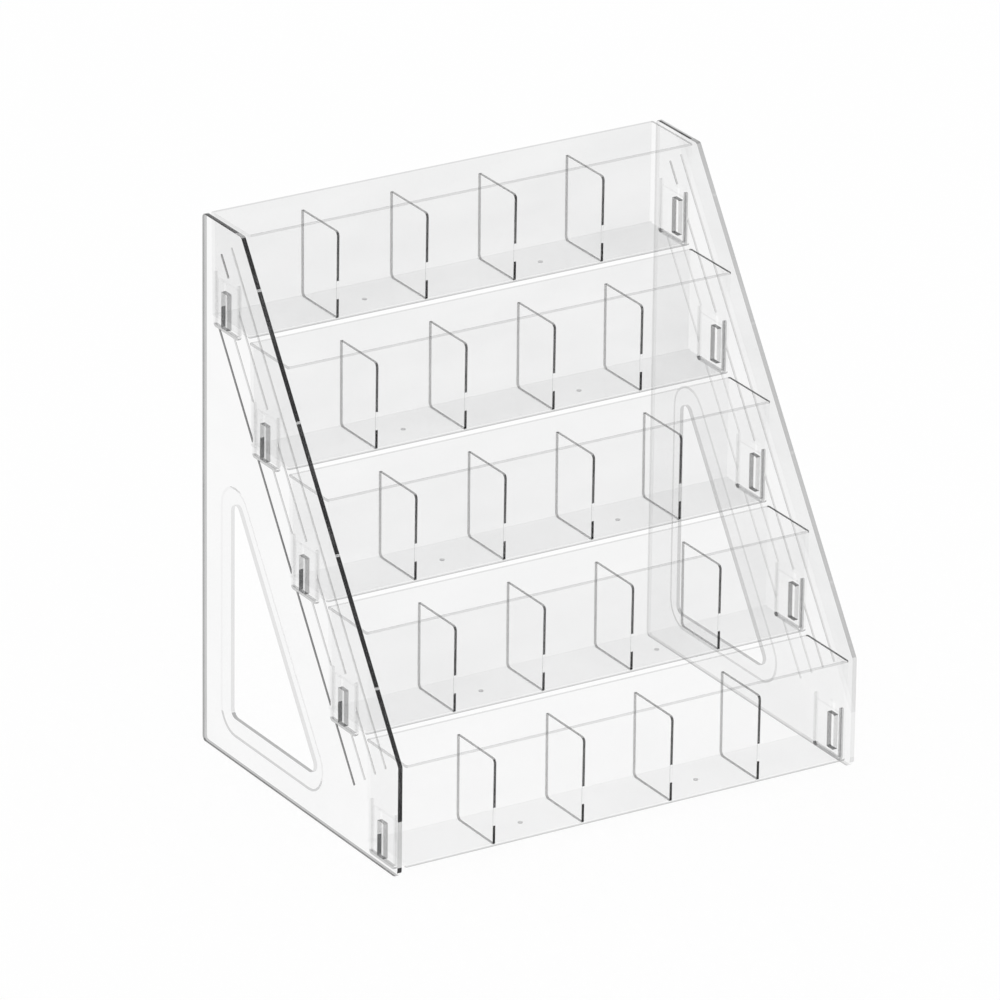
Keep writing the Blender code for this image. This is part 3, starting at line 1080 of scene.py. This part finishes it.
# painted shade on each end's key and tongue edges, differing side to side; the face values
# are tint amounts
KEY_TONES = {
    -1: {
        "key_back_low": 0.9,
        "key_back_high": 0.3,
        "key_front": 0.5,
        "key_ends": 0.6,
        "key_face": 0.2,
        "tongue_edge": 0.06,
        "tongue_face": 0.012,
    },
    1: {
        "key_back_low": 0.6,
        "key_back_high": 0.6,
        "key_front": 0.25,
        "key_ends": 0.85,
        "key_face": 0.04,
        "tongue_edge": 0.06,
        "tongue_face": 0.012,
    },
}


def tray_looks(back, front, floor, rim_back, rim_left, rim_right):
    return {
        "back_wall": back,
        "front_wall": front,
        "floor": floor,
        "left_wall": 0.006,
        "right_wall": 0.03,
        "rim_front": 0.19,
        "rim_back": rim_back,
        "rim_left": rim_left,
        "rim_right": rim_right,
        "foot": 0.42,
        "gate": 0.42,
    }


# face tint of each tray's walls and floor, lighter tier by tier towards the front, with
# walls, floor and the two sides differing as painted shade; rims, foot and gate get painted
# edge shade
TRAY_LOOKS = (
    tray_looks(0.090, 0.010, 0.155, 0.14, 0.1, 0.25),
    tray_looks(0.083, 0.010, 0.145, 0.12, 0.3, 0.7),
    tray_looks(0.070, 0.020, 0.122, 0.12, 0.3, 0.7),
    tray_looks(0.056, 0.030, 0.095, 0.12, 0.3, 0.7),
    tray_looks(0.032, 0.004, 0.076, 0.12, 0.3, 0.7),
)


def build_trays(material):
    pattern = tray_mesh(material)
    for tier in range(TIERS):
        mesh = pattern.copy()
        mesh.transform(Matrix.Translation((0.0, TRAY_MIDDLES[tier], tray_base(tier))))
        name = "tray_%d" % (tier + 1)
        finish_piece(
            name, mesh, material, name + "_body", name, tray_rule(tier)
        )


# ---------------------------------------------------------------- dividers


def divider_mesh():
    """Thin plate a little shorter at its foot, standing on z = 0."""
    base = TRAY_FLOOR - GROOVE + GAP
    top = TRAY_HEIGHT - DIVIDER_DROP
    inside = TRAY_DEPTH / 2 - TRAY_WALL - GAP
    head = inside - TRAY_DRAFT * (TRAY_HEIGHT - top) / TRAY_HEIGHT
    foot = inside - TRAY_DRAFT
    height = top - base
    middle = PANEL_DEPTH / 2
    loop = [
        (middle - foot, 0.0, DIVIDER_CORNER),
        (middle + foot, 0.0, DIVIDER_HEEL),
        (middle + head, height, DIVIDER_CORNER),
        (middle - head, height, DIVIDER_HEEL),
    ]
    mesh = plate([loop], -DIVIDER_HALF, DIVIDER_HALF, PART_ROUND)
    mesh.transform(Matrix.Translation((0.0, -to_y(middle), 0.0)))
    upright = Vector((0.0, 0.0, 1.0))
    cuts = [(upright * height * share, upright) for share in (STUB_TOP, CLEAR_TOP)]
    return sliced(mesh, cuts)


# painted shade on a divider: its edges, and on the front edge a near-black foot, a clear
# band and a dark upper part standing in for light bent in the plate; face is the amount of
# its white painted reflection
DIVIDER_TONES = {
    "face": 0.03,
    "front_stub": 0.985,
    "front_clear": 0.02,
    "front": 0.9,
    "back": 0.5,
    "top_and_foot": 0.6,
}


def divider_rule(low, high):
    """Edges get painted shade deeper than faces; on the front edge it is near black at the
    foot and clears in its lower middle.
    """
    tones = DIVIDER_TONES

    def rule(centre, normal):
        if abs(normal.x) > 0.95:
            return 0.0, tones["face"]
        share = (centre.z - low.z) / (high.z - low.z)
        if centre.y < low.y + UPRIGHT_ZONE and normal.y < -0.5:
            if share < STUB_TOP:
                return tones["front_stub"], 0.0
            return tones["front_clear" if share < CLEAR_TOP else "front"], 0.0
        if centre.y > high.y - UPRIGHT_ZONE and normal.y > 0.5:
            return tones["back"], 0.0
        return tones["top_and_foot"], 0.0

    return rule


def build_dividers(material):
    pattern = divider_mesh()
    for tier in range(TIERS):
        for index in range(POCKETS - 1):
            name = "divider_%d_%d" % (tier + 1, index + 1)
            low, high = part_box(name)
            mesh = pattern.copy()
            spot = (divider_x(index), TRAY_MIDDLES[tier], low.z)
            mesh.transform(Matrix.Translation(spot))
            finish_piece(
                name,
                mesh,
                material,
                name + "_body",
                name,
                divider_rule(low, high),
            )


# ---------------------------------------------------------------- stage, light and camera


def seen_directly(tree):
    """1 where a surface is looked at or shows in a gloss, 0 where it only lights."""
    path = tree.nodes.new("ShaderNodeLightPath")
    seen = Value(tree, path.outputs["Is Camera Ray"])
    for name in ("Is Glossy Ray", "Is Transmission Ray"):
        seen = seen.math("MAXIMUM", Value(tree, path.outputs[name]))
    return seen


def build_stage():
    bm = bmesh.new()
    bmesh.ops.create_grid(bm, x_segments=2, y_segments=2, size=FLOOR_HALF)
    mesh = bpy.data.meshes.new("floor")
    bm.to_mesh(mesh)
    bm.free()
    floor = bpy.data.objects.new("floor", mesh)
    floor.location = (0.0, 0.0, -0.5 * MM)
    bpy.context.scene.collection.objects.link(floor)
    r = Recipe("pale_floor")
    r.set(Base_Color=(0.92, 0.92, 0.92, 1.0), Roughness=0.6)
    tree = r.tree
    glow = tree.nodes.new("ShaderNodeEmission")
    blend = tree.nodes.new("ShaderNodeMixShader")
    connect(tree, blend.inputs[0], seen_directly(tree) * FLOOR_GLOW)
    tree.links.new(r.shader.outputs[0], blend.inputs[1])
    tree.links.new(glow.outputs[0], blend.inputs[2])
    output = tree.nodes["Material Output"]
    tree.links.new(blend.outputs[0], output.inputs["Surface"])
    floor.data.materials.append(r.material)


def build_world():
    world = bpy.data.worlds.new("studio")
    world.use_nodes = True
    bpy.context.scene.world = world
    tree = world.node_tree
    backdrop = tree.nodes["Background"]
    backdrop.inputs["Color"].default_value = (1.0, 1.0, 1.0, 1.0)
    strength = seen_directly(tree) * (1.0 - ROOM_LIGHT) + ROOM_LIGHT
    connect(tree, backdrop.inputs["Strength"], strength)


def build_lights():
    """One broad soft light from above and to the left."""
    lamp = bpy.data.lights.new("softbox", "SUN")
    lamp.energy = LAMP_STRENGTH
    lamp.angle = math.radians(LAMP_SPREAD)
    item = bpy.data.objects.new("softbox", lamp)
    item.rotation_euler = (*map(math.radians, LAMP_TILT), 0.0)
    bpy.context.scene.collection.objects.link(item)


def build_camera():
    """Long lens from the front left, a little above the rack."""
    azimuth = math.radians(VIEW_AZIMUTH)
    elevation = math.radians(VIEW_ELEVATION)
    back = Vector(
        (
            math.sin(azimuth) * math.cos(elevation),
            -math.cos(azimuth) * math.cos(elevation),
            math.sin(elevation),
        )
    )
    forward = -back
    right = forward.cross(Vector((0.0, 0.0, 1.0))).normalized()
    up = right.cross(forward)
    turn = math.radians(VIEW_ROLL)
    level = right * math.cos(turn) + up * math.sin(turn)
    upright = up * math.cos(turn) - right * math.sin(turn)
    sight = (forward - level * PAN - upright * TILT).normalized()
    level = (level - sight * level.dot(sight)).normalized()
    upright = level.cross(sight)
    camera = bpy.data.cameras.new("camera")
    camera.lens = VIEW_LENS
    camera.sensor_width = 36.0
    camera.clip_end = 200.0
    item = bpy.data.objects.new("camera", camera)
    axes = Matrix((level, upright, -sight)).transposed()
    item.matrix_world = Matrix.Translation(AIM + back * VIEW_DISTANCE) @ axes.to_4x4()
    bpy.context.scene.collection.objects.link(item)
    bpy.context.scene.camera = item


def build_scene():
    scene = bpy.context.scene
    scene.view_settings.view_transform = "Standard"
    scene.cycles.transparent_max_bounces = 160
    build_camera()
    build_world()
    build_lights()
    build_stage()
    # grey tint, laid on in amounts that are partly painted shade; a white painted
    # reflection of the surroundings on the dividers; each third colour is the near-black
    # painted edge shade
    grey_tint_and_shade = (0.30, 0.305, 0.31)
    white_painted_reflection = (0.93, 0.935, 0.94)
    panel_plastic = clear_plastic("clear_panel", grey_tint_and_shade, (0.010, 0.010, 0.011))
    tray_plastic = clear_plastic("clear_tray", grey_tint_and_shade, (0.015, 0.016, 0.017))
    divider_plastic = clear_plastic("clear_divider", white_painted_reflection, (0.012, 0.012, 0.013))
    build_panel("side_panel_left", -1, panel_plastic)
    build_panel("side_panel_right", 1, panel_plastic)
    build_trays(tray_plastic)
    build_dividers(divider_plastic)


build_scene()
